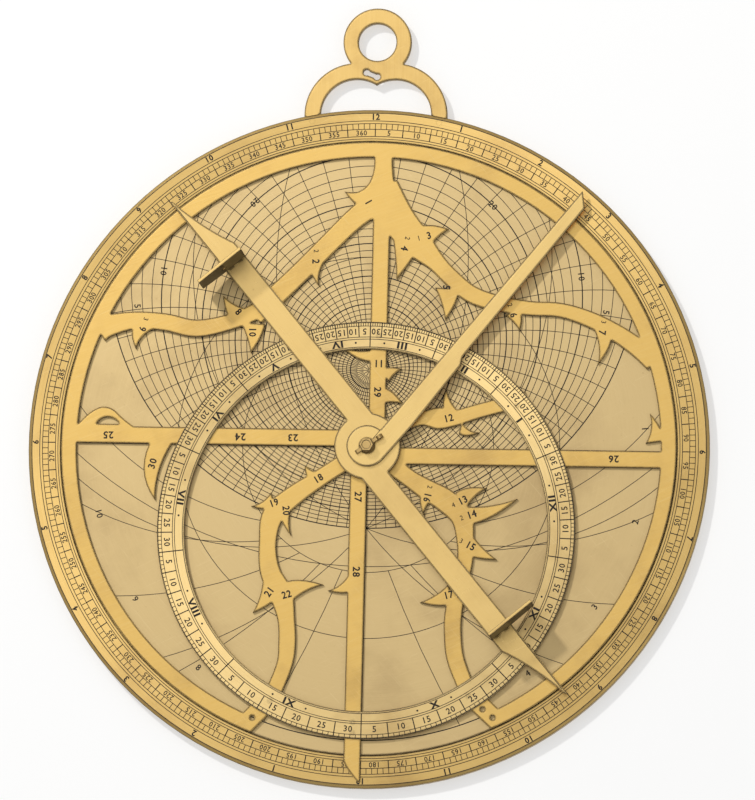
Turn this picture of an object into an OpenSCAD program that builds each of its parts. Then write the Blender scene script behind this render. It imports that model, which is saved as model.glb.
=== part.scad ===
// Planispheric astrolabe, lying face up: mother with limb and throne, three latitude
// plates, rete with zodiac ring, counterchanged alidade with two sight vanes, a
// single rule, and the pin and wedge that hold the stack together.
// Millimetres. +Z is out of the face, +Y is towards the throne, and the origin is
// on the pin's axis at the back face.

/* [Mother] */
// Outside diameter of the limb and back plate
limb_d = 272; // [250:1:300]
// Radial width of the raised limb
limb_w = 12.8; // [12.2:0.1:14]
// Height of the limb above the back plate
limb_h = 3.6; // [3.2:0.1:3.7]
// Thickness of the back plate
back_t = 2.2; // [1.8:0.1:3]
// Bevel along the limb's outer edge
edge_bevel = 1.2; // [0.4:0.1:1.6]
// Radius of the rivets that hold the limb to the back plate
limb_rivet_r = 1; // [0.6:0.1:1.4]
// Number of those rivets
limb_rivet_count = 12; // [6:1:12]

/* [Throne] */
// Radius of the hole in the suspension eye
eye_r = 7.6; // [6:0.1:9]
// Outer radius of the suspension eye
eye_outer_r = 13.7; // [12:0.1:15]
// Height of the eye's centre above the edge of the limb
eye_rise = 27.6; // [26:0.1:29]
// Distance between the centres of the arch's two lobes
lobe_gap = 15.4; // [12:0.1:18]
// Inner radius of each lobe of the arch
lobe_r = 14.5; // [13:0.1:16]
// Width of the band that forms the arch
arch_w = 6.5; // [5.5:0.1:7.5]
// Thickness of the throne
throne_t = 2.8; // [2:0.1:2.9]
// Depth of the tenon on each foot
tenon_l = 5; // [3.5:0.1:6]
// Radius of the pin through each tenon
throne_pin_r = 1.1; // [0.7:0.1:1.4]

/* [Latitude plates] */
// Thickness of each plate
plate_t = 1; // [0.8:0.05:1.05]
// Width of the key that stops a plate from turning
key_w = 4.6; // [3:0.1:5.4]
// Radial length of that key
key_l = 2.8; // [2:0.1:4]

/* [Rete] */
// Thickness of the pierced sheet
sheet_t = 1.2; // [1.1:0.05:1.6]
// Width of the rete's outer ring
rete_ring_w = 6.3; // [5:0.1:8]
// Width of the cross bars
bar_w = 6.8; // [5.8:0.1:7.6]
// Radius of the hub disc at the centre
rete_hub_r = 12; // [9:0.1:12.5]
// Where the outer ring ends on the left, in degrees from the bottom
left_end = 21; // [19:0.5:24]
// Where the outer ring ends on the right, in degrees from the bottom
right_end = 24.8; // [22:0.2:27]
// Thickness of the applied zodiac ring
zodiac_t = 0.9; // [0.7:0.05:1.2]
// Width of the zodiac ring
zodiac_w = 11; // [9:0.1:12]
// Obliquity of the ecliptic, in degrees
obliquity = 23.5; // [23.4:0.05:23.6]
// Reach of the rim pointer past the rete's outer ring
pointer_reach = 10.6; // [8:0.1:11.5]
// Radius of the rete's rivets
rete_rivet_r = 0.8; // [0.5:0.1:1.1]
// Radius of the small holes in the ring's end tabs
tab_hole_r = 0.9; // [0.5:0.1:1.1]

/* [Alidade] */
// Length of each arm from the centre
alidade_l = 126.4; // [118:0.2:134]
// Width of the arms
alidade_w = 9.9; // [8:0.1:11]
// Thickness of the alidade
alidade_t = 1.8; // [1.4:0.1:2.4]
// Radius of its hub
alidade_hub_r = 13.2; // [12.8:0.1:15]
// Width of each arm's tip
tip_w = 0.8; // [0.5:0.1:1.5]
// Length of the tapered end of each arm
taper_l = 29; // [24:0.5:32]
// Turn of the alidade from the +X axis, in degrees
alidade_turn = 130; // [120:1:140]
// Distance of the sight vanes from the tips of the arms
vane_inset = 35.4; // [33:0.2:44]
// Height of the sight vanes
vane_h = 20; // [12:0.5:24]
// Width of the sight vanes
vane_w = 21.4; // [18:0.1:23]
// Thickness of the sight vanes
vane_t = 1.2; // [0.9:0.1:1.6]
// Radius of the larger sight hole
sight_r = 1; // [0.7:0.05:1.3]
// Radius of the pinhole above it
pinhole_r = 0.5; // [0.4:0.05:0.7]

/* [Rule] */
// Length of the rule from the centre
rule_l = 133; // [124:0.5:138]
// Width of the rule at its tip
rule_tip_w = 5.1; // [4:0.1:6]
// Width of the rule just outside its shoulder
rule_w = 6.2; // [6.1:0.1:7]
// Width of the rule's broad inner part
rule_inner_w = 8.6; // [7.2:0.1:9]
// Distance of the shoulder from the centre
shoulder_at = 49.5; // [40:0.5:60]
// Radius of the rule's hub
rule_hub_r = 8.2; // [7:0.1:10]
// Thickness of the rule
rule_t = 1.4; // [1:0.1:2]
// Turn of the rule from the +X axis, in degrees
rule_turn = 51; // [45:1:60]

/* [Pin and wedge] */
// Radius of the pin's shank
pin_r = 2.8; // [2.4:0.05:3.2]
// Radius of the pin's flat head
head_r = 9; // [7:0.1:11]
// Thickness of the pin's flat head
head_t = 0.9; // [0.7:0.1:1.1]
// Height of the six-sided end above the slot
hex_h = 1.8; // [1.2:0.1:2.6]
// Thickness of the wedge
wedge_t = 1.5; // [1.2:0.05:1.9]
// Length of the wedge
wedge_l = 12.6; // [11:0.1:15]
// Height of the wedge at its thin end
wedge_low = 1.5; // [1.2:0.1:1.8]
// Height of the wedge at its head
wedge_high = 2.7; // [2.4:0.1:3.2]
// Turn of the wedge from the +X axis, in degrees
wedge_turn = 34; // [25:1:45]

/* [Hidden] */
$fn = 96;

brass = [0.80, 0.66, 0.36];
pale_brass = [0.86, 0.74, 0.45];
dark_brass = [0.66, 0.52, 0.27];

// Clearances
fit = 0.05;        // running fit on the pin
seat = 0.3;        // between a turning or lift-out disc and the limb
lift = 0.1;        // between faces that turn on each other
tuck = 0.02;       // round rivets and pins
eps = 0.01;        // overlap of cutting tools
arc_steps = 6;     // points on a short curve
span_steps = 5;    // points between two places on a branch

// Radii
limb_r = limb_d / 2;
womb_r = limb_r - limb_w;
plate_r = womb_r - seat;
rete_r = womb_r - seat;
tropic_r = rete_r - rete_ring_w;
unit = tropic_r / 100;

// Heights of each layer's underside
limb_top = back_t + limb_h;
plates_z = back_t;
rete_z = back_t + 3 * plate_t + lift;
zodiac_z = rete_z + sheet_t;
pointer_z = limb_top + lift;
alidade_z = zodiac_z + zodiac_t + 2 * lift;
rule_z = alidade_z + alidade_t + lift;
wedge_z = rule_z + rule_t + lift;

// Where each sight vane stands on its arm
vane_at = alidade_l - vane_inset;

// Stereographic projection of the ecliptic from the pole
cancer_r = tropic_r * pow(tan((90 - obliquity) / 2), 2);
zodiac_r = (tropic_r + cancer_r) / 2;
zodiac_y = -(tropic_r - cancer_r) / 2;
zodiac_mid_r = zodiac_r - zodiac_w / 2;

// Throne
lobe_y = limb_r - 2;
eye_y = limb_r + eye_rise;
foot_x = lobe_gap / 2 + lobe_r + arch_w / 2;
tenon_w = arch_w - 1.4;
tenon_pin_r = limb_r - tenon_l / 2;

// Plate key, behind the rim pointer
key_x = -bar_w / 2;

// Pin
slot_h = wedge_high - 0.4;
wedge_thin_end = -wedge_l * 0.42;
feather_w = 1.2;
feather_l = 1.1;

// Outline of a branch of the rete: places along its middle as [x, y, width], all in
// hundredths of the tropic of Capricorn's radius.
west_branch = [[-93.6, 38.6, 8], [-90, 40.6, 7.5], [-81, 42.5, 6], [-70.5, 42, 6],
    [-59.5, 40, 6], [-46.5, 43, 5.5], [-38, 47, 6]];
north_west_branch = [[3.5, 86, 9], [-5.5, 79.5, 7.5], [-14.5, 70.5, 7],
    [-24.5, 60, 7], [-35, 49.5, 7], [-40, 44, 6]];
east_branch = [[3.5, 90.5, 9.5], [8.5, 79, 11.5], [15, 71, 10.5], [22, 64, 6.5],
    [27.5, 58.5, 6], [34.5, 53, 6], [44, 50, 5.5], [54.5, 48.5, 5], [65, 48, 5],
    [75, 45, 5.5], [84, 40.5, 6], [91.5, 35.5, 6.5], [97.2, 30.6, 7]];
inner_east_branch = [[54, 17.5, 5], [38, 13, 5], [30, 10.5, 5.5], [24, 10.2, 7.5],
    [18, 10, 4.8], [11, 7.5, 5], [4, 4.5, 6]];
south_east_branch = [[4, -2.5, 7.5], [13, -9.5, 6], [20, -14, 7], [27, -18, 8],
    [32.5, -23.5, 7.5], [34, -31.5, 6], [34, -39, 5.5], [32, -48.5, 5.5],
    [30.5, -56.5, 6], [30.5, -65, 6], [32, -73.5, 6], [38, -87.5, 5.5]];
south_west_branch = [[-2.5, -2.5, 7.5], [-8, -5.5, 6], [-17, -11.5, 6],
    [-25.5, -17.5, 7], [-32, -24, 7.5], [-33.5, -33.5, 6], [-32.5, -43, 7],
    [-28.5, -51, 8], [-26.5, -59.5, 6], [-26, -68, 6], [-27, -76, 5.5],
    [-32.6, -90, 5.5]];
branches = [west_branch, north_west_branch, east_branch, inner_east_branch,
    south_east_branch, south_west_branch];

// Star pointers: [root x, root y, tip x, tip y, root width, bend], in the same unit.
// The bend is a share of the length, and is positive to the left of the tip.
pointers = [
    [-3.5, 86, -10, 88, 6, -0.2], [-18.5, 64.5, -18, 55, 5.5, 0.25],
    [18.5, 73, 26, 75.5, 7.5, -0.15], [11.5, 70, 8.5, 58, 9, -0.05],
    [26, 55, 25.5, 44, 8.5, -0.12], [48.5, 47, 51, 40.5, 5.5, -0.2],
    [79.5, 41.5, 78, 29.5, 6.5, -0.2], [-44, 44, -51, 51.5, 7.5, -0.2],
    [-78, 40.5, -80.5, 32.5, 6.5, 0.3], [-40.5, 42, -41, 31.8, 8.5, -0.12],
    [97.5, 3, 96, 13, 5.5, 0.25], [1.5, 31.5, -10, 34.5, 4.5, -0.2],
    [5.5, 24.5, 11, 27, 5, -0.2], [4.5, 17.5, 11.5, 15, 6, -0.2],
    [28.5, 12, 26.5, 20.5, 5, -0.2], [31.5, 7, 38, 5.5, 4, 0.3],
    [32, -18.3, 41, -13.5, 7, -0.2], [35, -23, 51.5, -17, 6.5, 0.12],
    [35, -33, 45, -38, 7, 0.1], [21, -16, 19.5, -23, 5, 0.2],
    [29.5, -50, 19, -53, 7, -0.15], [-17.5, -11, -21.5, -6.5, 5, -0.2],
    [-32, -18.5, -39.5, -21, 5, -0.25], [-27.5, -20, -25.5, -31, 5, 0.2],
    [-31.5, -48, -38, -57.5, 8, -0.15], [-28, -51.5, -14, -47.5, 8.5, -0.2],
    [-4, -46, -12.5, -49.5, 6, -0.25]
];

function unit_of(v) = v / norm(v);
function left_of(v) = [-v[1], v[0]];

// A smooth run through the places of a list, with the width carried along
function between(a, b, c, d, t) =
    0.5 * (2 * b + (c - a) * t + (2 * a - 5 * b + 4 * c - d) * t * t
        + (3 * b - a - 3 * c + d) * t * t * t);
function smooth_run(p) =
    let (n = len(p))
    concat([for (i = [0 : n - 2], k = [0 : span_steps - 1])
        between(p[max(i - 1, 0)], p[i], p[i + 1], p[min(i + 2, n - 1)], k / span_steps)],
        [p[n - 1]]);
function flat_of(p) = [p[0], p[1]];
function heading(p, i) =
    unit_of(flat_of(p[min(i + 1, len(p) - 1)]) - flat_of(p[max(i - 1, 0)]));
function side_run(p, s) =
    [for (i = [0 : len(p) - 1]) flat_of(p[i]) + left_of(heading(p, i)) * s * p[i][2] / 2];
function backwards(p) = [for (i = [len(p) - 1 : -1 : 0]) p[i]];

// One quadratic curve from a to c, drawn towards b
function curve(a, b, c, steps = arc_steps) =
    [for (i = [0 : steps]) let (t = i / steps)
        (1 - t) * (1 - t) * a + 2 * t * (1 - t) * b + t * t * c];

// A branch of the rete
module branch(places) {
    run = smooth_run(places);
    polygon(concat(side_run(run, -1), backwards(side_run(run, 1))) * unit);
}

// A flame-shaped star pointer with a bent tip
module pointer(p) {
    root = [p[0], p[1]];
    tip = [p[2], p[3]];
    way = tip - root;
    across = left_of(unit_of(way));
    lean = left_of(way) * p[5];
    a = root + across * p[4] / 2;
    b = root - across * p[4] / 2;
    waist = root + way * 0.45 - lean;
    polygon(concat(curve(b, waist - across * p[4] * 0.3, tip),
        backwards(curve(a, waist + across * p[4] * 0.3, tip))) * unit);
}

module disc(r, h) {
    cylinder(r = r, h = h);
}

// Rivets or holes on a circle, one to each angle
module on_circle(r, angles) {
    for (a = angles) rotate(a) translate([r, 0, 0]) children();
}

limb_rivet_angles = [for (i = [0 : limb_rivet_count - 1])
    (i + 0.5) * 360 / limb_rivet_count];
tenon_angle = asin(foot_x / tenon_pin_r);
tenon_angles = [90 - tenon_angle, 90 + tenon_angle];

module rivet_holes(r, z, h) {
    translate([0, 0, z]) on_circle(limb_r - limb_w / 2, limb_rivet_angles) disc(r, h);
}

module tenon_holes(r, z, h) {
    translate([0, 0, z]) on_circle(tenon_pin_r, tenon_angles) disc(r, h);
}

// The flat disc at the back, counterbored for the pin's head
module back_plate() {
    color(brass) difference() {
        rotate_extrude() polygon([[0, 0], [limb_r - edge_bevel / 2, 0],
            [limb_r, edge_bevel / 2], [limb_r, back_t], [0, back_t]]);
        translate([0, 0, -eps]) disc(head_r + lift, head_t + eps);
        translate([0, 0, -eps]) disc(pin_r + fit, back_t + 2 * eps);
        translate([0, -feather_w / 2 - fit, head_t - eps])
            cube([pin_r + feather_l + fit, feather_w + 2 * fit, back_t]);
        rivet_holes(limb_rivet_r + tuck, -eps, back_t + 2 * eps);
        tenon_holes(throne_pin_r + tuck, -eps, back_t + 2 * eps);
    }
}

// The raised ring that carries the hour and degree scales
module limb_ring() {
    color(pale_brass) difference() {
        rotate_extrude() polygon([[womb_r, back_t], [limb_r, back_t],
            [limb_r, limb_top - edge_bevel / 2], [limb_r - edge_bevel, limb_top],
            [womb_r, limb_top]]);
        translate([key_x - key_w / 2 - lift, -womb_r - key_l - lift, back_t - eps])
            cube([key_w + 2 * lift, key_l + 2, limb_h + 2 * eps]);
        translate([0, 0, back_t - eps]) linear_extrude(throne_t + lift + eps)
            tenons(lift);
        rivet_holes(limb_rivet_r + tuck, back_t - eps, limb_h * 0.7);
        tenon_holes(throne_pin_r + tuck, back_t - eps, throne_t + 0.5);
    }
}

module limb_rivets() {
    color(dark_brass)
        rivet_holes(limb_rivet_r, 0, back_t + limb_h * 0.7 - 2 * tuck);
}

// The two tenons that enter the limb's edge; gap widens them for their mortises
module tenons(gap = 0) {
    intersection() {
        for (s = [-1, 1])
            translate([s * foot_x - tenon_w / 2 - gap, lobe_y - tenon_l * 2])
                square([tenon_w + 2 * gap, tenon_l * 2 + 1]);
        difference() {
            circle(r = limb_r + 2);
            circle(r = limb_r - tenon_l - gap);
        }
    }
}

// Small waisted slot under the eye
module bean_slot() {
    slot_y = (lobe_y + lobe_r + eye_y - eye_r) / 2 - 1;
    translate([-2, slot_y - 0.8]) rotate(-22) {
        for (s = [-1, 1]) translate([s * 2.3, 0]) circle(r = 1.3);
        square([4.6, 1.9], center = true);
    }
}

module throne_outline() {
    difference() {
        union() {
            for (s = [-1, 1])
                translate([s * lobe_gap / 2, lobe_y]) circle(r = lobe_r + arch_w);
            translate([0, eye_y]) circle(r = eye_outer_r);
        }
        for (s = [-1, 1]) translate([s * lobe_gap / 2, lobe_y]) circle(r = lobe_r);
        translate([0, eye_y]) circle(r = eye_r);
        bean_slot();
        circle(r = limb_r + fit);
    }
}

// The arch with its suspension eye, tenoned into the limb
module throne() {
    color(brass) difference() {
        translate([0, 0, back_t]) linear_extrude(throne_t) {
            throne_outline();
            tenons();
        }
        tenon_holes(throne_pin_r + tuck, back_t - eps, throne_t + 2 * eps);
    }
}

module throne_pins() {
    color(dark_brass)
        tenon_holes(throne_pin_r, 0, back_t + throne_t + 0.4);
}

// One latitude plate, counted from the bottom of the womb
module plate(level) {
    color(pale_brass) translate([0, 0, plates_z + level * plate_t]) difference() {
        union() {
            disc(plate_r, plate_t);
            translate([key_x - key_w / 2, -womb_r - key_l, 0])
                cube([key_w, key_l + 4, plate_t]);
        }
        translate([0, 0, -eps]) disc(pin_r + fit, plate_t + 2 * eps);
    }
}

module zodiac_place(angle) {
    translate([0, zodiac_y, 0]) rotate(angle) translate([zodiac_mid_r, 0, 0]) children();
}

// Where the ring's middle crosses a bar or the end of a branch, seen from the ring
function crossing(x, y) = atan2(y - zodiac_y, x);
function branch_end(b, i) = crossing(b[i][0] * unit, b[i][1] * unit);
zodiac_rivet_angles = [
    asin((-bar_w / 2 - zodiac_y) / zodiac_mid_r),
    acos(bar_w / 2 / zodiac_mid_r),
    branch_end(inner_east_branch, 0),
    branch_end(south_east_branch, len(south_east_branch) - 1),
    branch_end(south_west_branch, len(south_west_branch) - 1)
];

// Tapered flare where the top bar meets the outer ring
module top_flare() {
    polygon(concat(
        curve([0.1, 101], [0.3, 90.3], [-5, 88.3], 8),
        [[-6, 83], [3, 76], [14, 70]],
        curve([19, 76.2], [6.2, 80], [6.2, 101], 10)) * unit);
}

// Hump on the left bar, with its half-moon opening
module left_hump() {
    difference() {
        polygon(concat(
            curve([-80, 5.5], [-84, 8], [-87, 11.2]),
            curve([-87, 11.2], [-90.5, 13.6], [-94, 11.6]),
            curve([-94, 11.6], [-97, 10], [-101, 5])) * unit);
        intersection() {
            translate([-89.5, 4.6] * unit) circle(r = 4.4 * unit);
            translate([-96, 6.6] * unit) square([12, 4] * unit);
        }
    }
}

// Blade that follows the outside of the zodiac ring below the left bar
module left_blade() {
    polygon(concat(
        curve([-73.5, 3], [-80.5, -9], [-72.5, -19.5], 8),
        curve([-72.5, -19.5], [-73, -8], [-65.5, 3], 8)) * unit);
}

// The cross bars, each with its straight edge on an axis
module cross_bars() {
    reach = tropic_r + 1;
    square([bar_w, reach]);
    translate([-reach, 0]) square([reach, bar_w]);
    translate([0, -bar_w]) square([reach, bar_w]);
    translate([-bar_w, -tropic_r]) square([bar_w, tropic_r]);
}

function below(angle, r) = r * [sin(angle), -cos(angle)];

// Ring outside the tropic of Capricorn, open at the bottom
module outer_ring() {
    far = rete_r * 1.5;
    difference() {
        circle(r = rete_r);
        circle(r = tropic_r);
        polygon([[0, 0], below(-left_end - 1, far), below(0, far), below(right_end + 1, far)]);
    }
}

// The ring's two ends run in under the zodiac ring
module end_tabs() {
    under = tropic_r - zodiac_w / 2;
    polygon([below(-left_end, rete_r - 0.05), below(2.6 - left_end, under),
        below(-left_end - 1, under - 4), below(-left_end - 3, tropic_r + 1),
        below(-left_end - 3, rete_r - 0.2)]);
    polygon([below(right_end, rete_r - 0.05), below(right_end + 3, rete_r - 0.2),
        below(right_end + 3, tropic_r + 1), below(right_end + 1, under - 4),
        below(right_end - 2.6, under)]);
}

module tab_holes() {
    for (p = [below(-left_end - 0.8, tropic_r + 0.5), below(right_end, tropic_r - 2.3),
        below(right_end + 1.1, tropic_r + 2.4)])
        translate(p) circle(r = tab_hole_r);
}

module rete_outline() {
    outer_ring();
    end_tabs();
    cross_bars();
    circle(r = rete_hub_r);
    top_flare();
    left_hump();
    left_blade();
    for (b = branches) branch(b);
    for (p = pointers) pointer(p);
}

// The pierced sheet: star pointers, branches, bars and outer ring in one piece
module rete_sheet() {
    color(brass) difference() {
        translate([0, 0, rete_z]) linear_extrude(sheet_t) difference() {
            rete_outline();
            tab_holes();
        }
        translate([0, 0, rete_z - eps]) disc(pin_r + fit, sheet_t + 2 * eps);
        translate([-bar_w - 1, -tropic_r - 1, pointer_z - tuck])
            cube([bar_w + 1 + eps, pointer_root_l + 1, sheet_t]);
        translate([0, 0, rete_z - eps]) {
            for (a = zodiac_rivet_angles)
                zodiac_place(a) disc(rete_rivet_r + tuck, sheet_t + 2 * eps);
            pointer_rivet_places() disc(rete_rivet_r + tuck, sheet_t + 2 * eps);
        }
    }
}

// The applied ring of the twelve signs
module zodiac_ring() {
    color(pale_brass) difference() {
        translate([0, zodiac_y, zodiac_z]) difference() {
            disc(zodiac_r, zodiac_t);
            translate([0, 0, -eps]) disc(zodiac_r - zodiac_w, zodiac_t + 2 * eps);
        }
        translate([0, 0, zodiac_z - eps]) {
            for (a = zodiac_rivet_angles)
                zodiac_place(a) disc(rete_rivet_r + tuck, zodiac_t * 0.6);
            pointer_rivet_places() disc(rete_rivet_r + tuck, zodiac_t * 0.6);
        }
    }
}

module zodiac_rivets() {
    color(dark_brass) translate([0, 0, rete_z])
        for (a = zodiac_rivet_angles)
            zodiac_place(a) disc(rete_rivet_r, sheet_t + zodiac_t * 0.6 - 2 * tuck);
}

pointer_root_l = zodiac_w - 1.5;

module pointer_rivet_places() {
    for (k = [0.25, 0.7])
        translate([-bar_w / 2, -tropic_r + pointer_root_l * k, 0]) children();
}

// The pointer that leaves the rete under the zodiac ring and passes over the limb
module rim_pointer() {
    tip_y = -rete_r - pointer_reach;
    color(brass) difference() {
        translate([0, 0, pointer_z]) linear_extrude(zodiac_z - pointer_z)
            polygon(concat([[-bar_w, -tropic_r + pointer_root_l], [-bar_w, tip_y + 8.4]],
                curve([-bar_w, tip_y + 8.4], [-bar_w + 1.2, tip_y + 5], [-0.9, tip_y]),
                [[0, tip_y], [0, -tropic_r + pointer_root_l]]));
        translate([0, 0, pointer_z - eps])
            pointer_rivet_places() disc(rete_rivet_r + tuck, sheet_t);
    }
}

module pointer_rivets() {
    color(dark_brass) translate([0, 0, rete_z])
        pointer_rivet_places() disc(rete_rivet_r, sheet_t + zodiac_t * 0.6 - 2 * tuck);
}

// Collar that keeps the alidade clear of the zodiac ring
module hub_washer() {
    washer_z = zodiac_z + lift / 2;
    color(dark_brass) difference() {
        translate([0, 0, washer_z]) disc(rete_hub_r, alidade_z - washer_z - lift / 2);
        translate([0, 0, washer_z - eps]) disc(pin_r + fit, alidade_z);
    }
}

// One arm along +X, its sighting edge on the X axis
module alidade_arm() {
    polygon(concat([[0, 0], [0, -alidade_w]],
        curve([alidade_l - taper_l, -alidade_w],
            [alidade_l - taper_l * 0.55, -alidade_w * 0.36], [alidade_l, -tip_w], 10),
        [[alidade_l, 0]]));
}

// Shares of the arm's width at which a vane's two tenons pass through it
vane_tenons = [0.27, 0.73];
vane_tenon_w = 2.2;

module vane_slots(gap) {
    for (k = vane_tenons)
        translate([vane_at - vane_t / 2 - gap, -alidade_w * k - vane_tenon_w / 2 - gap, -eps])
            cube([vane_t + 2 * gap, vane_tenon_w + 2 * gap, alidade_t + 2 * eps]);
}

// Counterchanged rule: its arms lie on opposite sides of the line of sight
module alidade_rule() {
    color(brass) translate([0, 0, alidade_z]) rotate(alidade_turn) difference() {
        union() {
            disc(alidade_hub_r, alidade_t);
            for (a = [0, 180]) rotate(a) linear_extrude(alidade_t) alidade_arm();
        }
        translate([0, 0, -eps]) disc(pin_r + fit, alidade_t + 2 * eps);
        for (a = [0, 180]) rotate(a) vane_slots(tuck);
    }
}

// A sight vane on the arm that lies along the given turn
module vane(turn) {
    low = -alidade_w;
    high = low + vane_w;
    slope = 2.4;
    color(pale_brass) translate([0, 0, alidade_z]) rotate(turn) {
        difference() {
            translate([vane_at + vane_t / 2, 0, alidade_t]) rotate([90, 0, -90])
                linear_extrude(vane_t) polygon([[-low, 0], [-slope, 0],
                    [-high, slope], [-high, vane_h], [-low, vane_h]]);
            for (h = [[0.42, sight_r], [0.74, pinhole_r]])
                translate([vane_at - vane_t, 0, alidade_t + vane_h * h[0]])
                    rotate([0, 90, 0]) disc(h[1], 2 * vane_t);
        }
        for (k = vane_tenons)
            translate([vane_at - vane_t / 2, -alidade_w * k - vane_tenon_w / 2, 0])
                cube([vane_t, vane_tenon_w, alidade_t]);
    }
}

module vane_left() {
    vane(alidade_turn);
}

module vane_right() {
    vane(alidade_turn + 180);
}

// The single rule, with its reading edge on the line from the centre
module single_rule() {
    nib = 4.8;
    color(brass) translate([0, 0, rule_z]) rotate(rule_turn) difference() {
        union() {
            disc(rule_hub_r, rule_t);
            linear_extrude(rule_t)
                polygon(concat([[0, 0], [0, -rule_hub_r],
                    [shoulder_at * 0.35, -rule_inner_w]],
                    curve([shoulder_at - 1, -rule_inner_w + 0.8],
                        [shoulder_at + 1, -rule_w - 0.4], [shoulder_at + 2, -rule_w], 4),
                    [[rule_l - nib, -rule_tip_w], [rule_l - 0.8, -1], [rule_l, 0]]));
        }
        translate([0, 0, -eps]) disc(pin_r + fit, rule_t + 2 * eps);
    }
}

// The pin: flat head, feather that stops it turning, slot, and six-sided end
module pin_bolt() {
    slot_top = wedge_z + slot_h;
    hex_z = slot_top + 0.6;
    color(dark_brass) difference() {
        union() {
            disc(head_r, head_t);
            disc(pin_r, hex_z);
            translate([0, -feather_w / 2, head_t - eps])
                cube([pin_r + feather_l, feather_w, back_t - head_t - lift]);
            translate([0, 0, hex_z]) cylinder(r = pin_r, h = hex_h, $fn = 6);
        }
        rotate(wedge_turn) translate([-pin_r - 1, -wedge_t / 2 - fit, wedge_z - lift / 2])
            cube([2 * pin_r + 2, wedge_t + 2 * fit, slot_h + lift / 2]);
        translate([0, 0, hex_z + hex_h - 0.35]) disc(pin_r * 0.62, 1);
    }
}

// The wedge, thin end first through the pin, with a curled head
module wedge() {
    far = wedge_thin_end + wedge_l;
    curl_r = wedge_high * 0.5;
    slope = (wedge_high - wedge_low) / wedge_l;
    color(dark_brass) rotate(wedge_turn) translate([0, wedge_t / 2, wedge_z])
        rotate([90, 0, 0]) linear_extrude(wedge_t) difference() {
            union() {
                polygon([[wedge_thin_end, 0], [far - curl_r, 0],
                    [far - curl_r, wedge_low + slope * (wedge_l - curl_r)],
                    [pin_r + 0.6, wedge_low + slope * (pin_r + 0.6 - wedge_thin_end)],
                    [wedge_thin_end + 0.5, wedge_low], [wedge_thin_end, wedge_low - 0.5]]);
                translate([far - curl_r, curl_r * 1.1]) circle(r = curl_r * 1.1);
            }
            translate([far - curl_r, curl_r * 1.15]) circle(r = curl_r * 0.4);
        }
}

back_plate();
limb_ring();
limb_rivets();
throne();
throne_pins();
plate(0);  // plate_lower
plate(1);  // plate_middle
plate(2);  // plate_upper
pin_bolt();
hub_washer();
rete_sheet();
zodiac_ring();
zodiac_rivets();
rim_pointer();
pointer_rivets();
alidade_rule();
vane_left();
vane_right();
single_rule();
wedge();
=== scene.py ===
import math

import bmesh
import bpy
from mathutils import Matrix, Vector


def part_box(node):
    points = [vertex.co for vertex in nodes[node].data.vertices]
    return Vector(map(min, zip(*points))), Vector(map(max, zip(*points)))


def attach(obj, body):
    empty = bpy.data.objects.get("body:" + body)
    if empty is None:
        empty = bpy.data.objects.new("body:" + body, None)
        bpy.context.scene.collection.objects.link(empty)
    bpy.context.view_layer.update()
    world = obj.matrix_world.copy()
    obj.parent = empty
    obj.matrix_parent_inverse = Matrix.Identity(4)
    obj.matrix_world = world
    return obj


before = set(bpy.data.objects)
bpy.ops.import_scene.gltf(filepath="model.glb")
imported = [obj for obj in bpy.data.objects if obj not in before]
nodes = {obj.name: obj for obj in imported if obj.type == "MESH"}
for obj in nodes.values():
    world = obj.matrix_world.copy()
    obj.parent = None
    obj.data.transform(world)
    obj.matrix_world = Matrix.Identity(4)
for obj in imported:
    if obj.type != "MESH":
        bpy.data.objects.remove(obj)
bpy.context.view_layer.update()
scene = bpy.context.scene
scene.view_settings.view_transform = "Standard"
print("frame loaded with", len(nodes), "nodes")

mm = 0.001


def deg(angle):
    return math.radians(angle)


def topOf(node):
    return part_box(node)[1].z / mm


def polar(radius, angle, centre=(0, 0)):
    # degrees, counterclockwise from +X
    return (centre[0] + radius * math.cos(deg(angle)), centre[1] + radius * math.sin(deg(angle)))


def addPiece(name, work, material):
    mesh = bpy.data.meshes.new(name)
    work.to_mesh(mesh)
    work.free()
    mesh.materials.append(material)
    piece = bpy.data.objects.new(name, mesh)
    scene.collection.objects.link(piece)
    return piece


# Sizes in mm that the frame gives

zodiacLow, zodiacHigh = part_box("zodiac_ring")
zodiacR = (zodiacHigh.x - zodiacLow.x) / 2 / mm
zodiacY = (zodiacHigh.y + zodiacLow.y) / 2 / mm
tropicR = zodiacR - zodiacY  # the ring touches the tropic of Capricorn
unit = tropicR / 100
obliquity = 23.5
equatorR = tropicR * math.tan(deg((90 - obliquity) / 2))
cancerR = tropicR * math.tan(deg((90 - obliquity) / 2)) ** 2


# Camera and light

camera = {
    "lens": 300, "sensor": 36, "nearest": 0.05,
    "viewHeight": 0.3188,       # metres that fit the picture's height
    "tilt": 8,                  # degrees from straight above
    "towards": (0.52, -0.854),  # x and y of the side that it tilts to
    "roll": 1.33,
    "aim": (3.4, 18.9, 6),      # in mm
}
lamps = {
    # place in metres, size, power and colour
    "keyLamp": ((-0.9, 1.1, 1.7), 0.14, 24, (1, 0.99, 0.97)),
    "panelLamp": ((-0.22, 0.34, 1.9), 1.5, 4.2, (1, 0.995, 0.985)),
    "fillLamp": ((1.6, -0.8, 1.6), 1.2, 2, (0.95, 0.975, 1)),
}


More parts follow.
